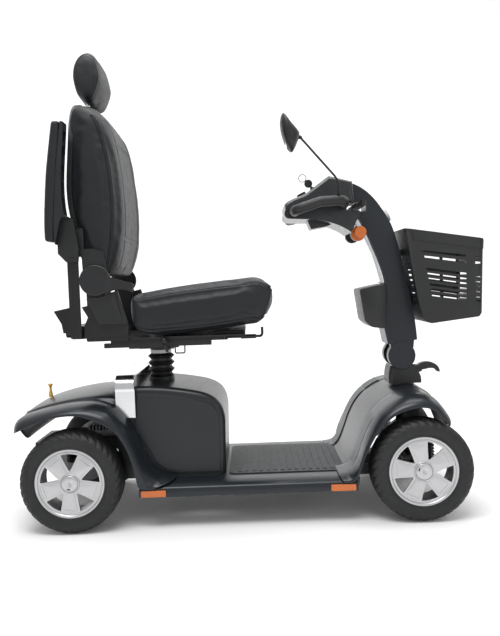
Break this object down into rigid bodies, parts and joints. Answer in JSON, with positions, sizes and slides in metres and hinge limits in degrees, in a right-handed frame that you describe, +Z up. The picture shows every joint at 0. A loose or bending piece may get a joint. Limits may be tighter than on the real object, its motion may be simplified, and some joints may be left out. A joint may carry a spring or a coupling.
{
  "type": "mobility scooter",
  "caption": "Four-wheel mobility scooter with a swivelling high-back seat, flip-up armrests, tilting tiller with a padded loop handlebar, mirror and front basket.",
  "frame": {"origin": "on the ground under the centre of the whole object's box", "axes": "+X forward, +Y to the rider's left, +Z up"},
  "size_m": [1.578, 0.634, 1.5908],
  "materials": {
    "body_graphite": "moulded plastic in dark graphite, glossy",
    "cover_charcoal": "satin charcoal plastic",
    "band_grey": "mid grey gloss plastic",
    "mat_rubber": "ribbed rubber",
    "tyre": "black-grey solid tyre",
    "wheel_silver": "silver painted alloy",
    "steel_black": "black powder coat",
    "steel_bare": "plated steel",
    "chrome": "bright silver",
    "alloy": "cast alloy",
    "amber": "amber lens plastic",
    "battery": "battery case",
    "black_plastic": "black moulded plastic",
    "console_plastic": "dark satin plastic",
    "vinyl": "charcoal leather-look vinyl over foam",
    "grip": "soft padded grip",
    "bellows_rubber": "black rubber",
    "yellow": "yellow plastic",
    "basket_black": "black moulded plastic"
  },
  "bodies": {
    "chassis": {"frame": "steel_black", "floor_deck": "body_graphite", "floor_mat": "mat_rubber", "rear_shroud": "body_graphite", "battery_cover": "cover_charcoal", "battery_doors": "cover_charcoal", "silver_hoop": "chrome", "front_shroud": "body_graphite", "front_trim_band": "band_grey", "reflectors": "amber", "transaxle": "alloy", "batteries": "battery", "controller": "alloy", "post_bellows": "bellows_rubber"},
    "wheel_rear_right": {"tyre_rear_right": "tyre", "rim_rear_right": "wheel_silver"},
    "wheel_rear_left": {"tyre_rear_left": "tyre", "rim_rear_left": "wheel_silver"},
    "wheel_front_right": {"tyre_front_right": "tyre", "rim_front_right": "wheel_silver"},
    "wheel_front_left": {"tyre_front_left": "tyre", "rim_front_left": "wheel_silver"},
    "knuckle_right_body": {"knuckle_right": "steel_bare"},
    "knuckle_left_body": {"knuckle_left": "steel_bare"},
    "tie_rod_body": {"tie_rod": "steel_bare"},
    "steering_post": {"steering_base": "black_plastic"},
    "tilt_lever_body": {"tilt_lever": "black_plastic"},
    "tiller": {"tiller_column": "body_graphite", "tiller_trim": "chrome", "tiller_box": "black_plastic", "console_upper": "console_plastic", "console_lower": "console_plastic", "handlebar": "grip", "tiller_lamps": "amber"},
    "throttle": {"throttle_paddles": "black_plastic"},
    "key": {"ignition_key": "steel_bare"},
    "dial": {"speed_dial": "black_plastic"},
    "horn": {"horn_button": "black_plastic"},
    "mirror_arm": {"mirror_stem": "steel_black"},
    "mirror": {"mirror_head": "black_plastic"},
    "basket_body": {"basket": "basket_black"},
    "freewheel": {"freewheel_lever": "yellow"},
    "post": {"seat_post": "steel_bare"},
    "swivel": {"swivel_base": "steel_black"},
    "swivel_handle": {"swivel_lever": "steel_black"},
    "seat": {"seat_pan": "steel_black", "seat_cushion": "vinyl", "seat_shields": "black_plastic"},
    "slide_handle": {"slide_lever": "black_plastic"},
    "recline_handle": {"recline_lever": "black_plastic"},
    "backrest": {"back_cushion": "vinyl", "back_shell": "black_plastic"},
    "headrest": {"headrest_cushion": "vinyl", "headrest_posts": "chrome"},
    "arm_post_right": {"armrest_post_right": "steel_black"},
    "arm_post_left": {"armrest_post_left": "steel_black"},
    "armrest_right": {"armrest_arm_right": "black_plastic", "armrest_pad_right": "vinyl"},
    "armrest_left": {"armrest_arm_left": "black_plastic", "armrest_pad_left": "vinyl"}
  },
  "joints": [
    {"name": "wheel_rear_right_spin", "type": "hinge", "parent": "chassis", "child": "wheel_rear_right", "pos_m": [-0.6057, -0.258, 0.165], "axis": [0, 1, 0], "continuous": true},
    {"name": "wheel_rear_left_spin", "type": "hinge", "parent": "chassis", "child": "wheel_rear_left", "pos_m": [-0.6057, 0.258, 0.165], "axis": [0, 1, 0], "continuous": true},
    {"name": "steer", "type": "hinge", "parent": "chassis", "child": "steering_post", "pos_m": [0.528, 0, 0.4], "axis": [0, 0, 1], "range_deg": [-30, 30]},
    {"name": "knuckle_right_steer", "type": "hinge", "parent": "chassis", "child": "knuckle_right_body", "pos_m": [0.528, -0.213, 0.165], "axis": [0, 0, 1], "range_deg": [-30, 30]},
    {"name": "knuckle_left_steer", "type": "hinge", "parent": "chassis", "child": "knuckle_left_body", "pos_m": [0.528, 0.213, 0.165], "axis": [0, 0, 1], "range_deg": [-30, 30]},
    {"name": "tie_rod_pivot", "type": "hinge", "parent": "steering_post", "child": "tie_rod_body", "pos_m": [0.463, 0, 0.204], "axis": [0, 0, 1], "range_deg": [-30, 30]},
    {"name": "wheel_front_right_spin", "type": "hinge", "parent": "knuckle_right_body", "child": "wheel_front_right", "pos_m": [0.5277, -0.258, 0.165], "axis": [0, 1, 0], "continuous": true},
    {"name": "wheel_front_left_spin", "type": "hinge", "parent": "knuckle_left_body", "child": "wheel_front_left", "pos_m": [0.5277, 0.258, 0.165], "axis": [0, 1, 0], "continuous": true},
    {"name": "tiller_tilt", "type": "hinge", "parent": "steering_post", "child": "tiller", "pos_m": [0.519, 0, 0.511], "axis": [0, 1, 0], "range_deg": [-15, 20]},
    {"name": "tilt_lever_pull", "type": "hinge", "parent": "steering_post", "child": "tilt_lever_body", "pos_m": [0.587, 0, 0.46], "axis": [0, 1, 0], "range_deg": [-25, 0], "stiffness_Nm_per_rad": 1, "springref_deg": 8.59},
    {"name": "throttle_turn", "type": "hinge", "parent": "tiller", "child": "throttle", "pos_m": [0.371, 0, 1.035], "axis": [0, 0, 1], "range_deg": [-4, 4], "stiffness_Nm_per_rad": 1.5},
    {"name": "key_turn", "type": "hinge", "parent": "tiller", "child": "key", "pos_m": [0.223, -0.045, 1.105], "axis": [-0.5868, 0, 0.8097], "range_deg": [0, 90]},
    {"name": "speed_dial_turn", "type": "hinge", "parent": "tiller", "child": "dial", "pos_m": [0.192, 0.01, 1.085], "axis": [-0.4368, 0, 0.8996], "range_deg": [-135, 135]},
    {"name": "horn_press", "type": "slide", "parent": "tiller", "child": "horn", "axis": [0.3499, 0, -0.9368], "range_m": [0, 0.002], "stiffness_N_per_m": 600},
    {"name": "mirror_swing", "type": "hinge", "parent": "tiller", "child": "mirror_arm", "pos_m": [0.29, -0.235, 1.06], "axis": [0, 0, 1], "range_deg": [-60, 60]},
    {"name": "mirror_tilt", "type": "hinge", "parent": "mirror_arm", "child": "mirror", "pos_m": [0.169, -0.259, 1.243], "axis": [0, 1, 0], "range_deg": [-12, 12]},
    {"name": "basket_lift", "type": "slide", "parent": "tiller", "child": "basket_body", "axis": [0, 0, 1], "range_m": [0, 0.15]},
    {"name": "freewheel_flip", "type": "hinge", "parent": "chassis", "child": "freewheel", "pos_m": [-0.741, 0, 0.366], "axis": [0, 1, 0], "range_deg": [0, 25]},
    {"name": "seat_height", "type": "slide", "parent": "chassis", "child": "post", "axis": [0, 0, 1], "range_m": [-0.03, 0.05], "deforming": ["post_bellows"]},
    {"name": "seat_swivel", "type": "hinge", "parent": "post", "child": "swivel", "pos_m": [-0.336, 0, 0.57], "axis": [0, 0, 1], "continuous": true},
    {"name": "swivel_handle_turn", "type": "hinge", "parent": "swivel", "child": "swivel_handle", "pos_m": [-0.289, -0.078, 0.571], "axis": [0, 0, 1], "range_deg": [-12, 12], "stiffness_Nm_per_rad": 1},
    {"name": "seat_slide", "type": "slide", "parent": "swivel", "child": "seat", "axis": [1, 0, 0], "range_m": [-0.05, 0.06]},
    {"name": "slide_handle_turn", "type": "hinge", "parent": "seat", "child": "slide_handle", "pos_m": [-0.099, -0.12, 0.603], "axis": [0, 0, 1], "range_deg": [-10, 10], "stiffness_Nm_per_rad": 1},
    {"name": "recline", "type": "hinge", "parent": "seat", "child": "backrest", "pos_m": [-0.506, 0, 0.811], "axis": [0, 1, 0], "range_deg": [-25, 40]},
    {"name": "recline_handle_pull", "type": "hinge", "parent": "seat", "child": "recline_handle", "pos_m": [-0.506, -0.258, 0.811], "axis": [0, 1, 0], "range_deg": [-20, 0], "stiffness_Nm_per_rad": 1, "springref_deg": 11.46},
    {"name": "headrest_height", "type": "slide", "parent": "backrest", "child": "headrest", "axis": [0, 0, 1], "range_m": [0, 0.06]},
    {"name": "armrest_width_right", "type": "slide", "parent": "seat", "child": "arm_post_right", "axis": [0, -1, 0], "range_m": [0, 0.05]},
    {"name": "armrest_flip_right", "type": "hinge", "parent": "arm_post_right", "child": "armrest_right", "pos_m": [-0.573, -0.255, 0.886], "axis": [0, 1, 0], "range_deg": [0, 90]},
    {"name": "armrest_width_left", "type": "slide", "parent": "seat", "child": "arm_post_left", "axis": [0, 1, 0], "range_m": [0, 0.05]},
    {"name": "armrest_flip_left", "type": "hinge", "parent": "arm_post_left", "child": "armrest_left", "pos_m": [-0.573, 0.255, 0.886], "axis": [0, 1, 0], "range_deg": [0, 90]}
  ],
  "couplings": [
    {"joint": "knuckle_right_steer", "follows": "steer", "ratio": 1},
    {"joint": "knuckle_left_steer", "follows": "steer", "ratio": 1},
    {"joint": "tie_rod_pivot", "follows": "steer", "ratio": -1}
  ]
}
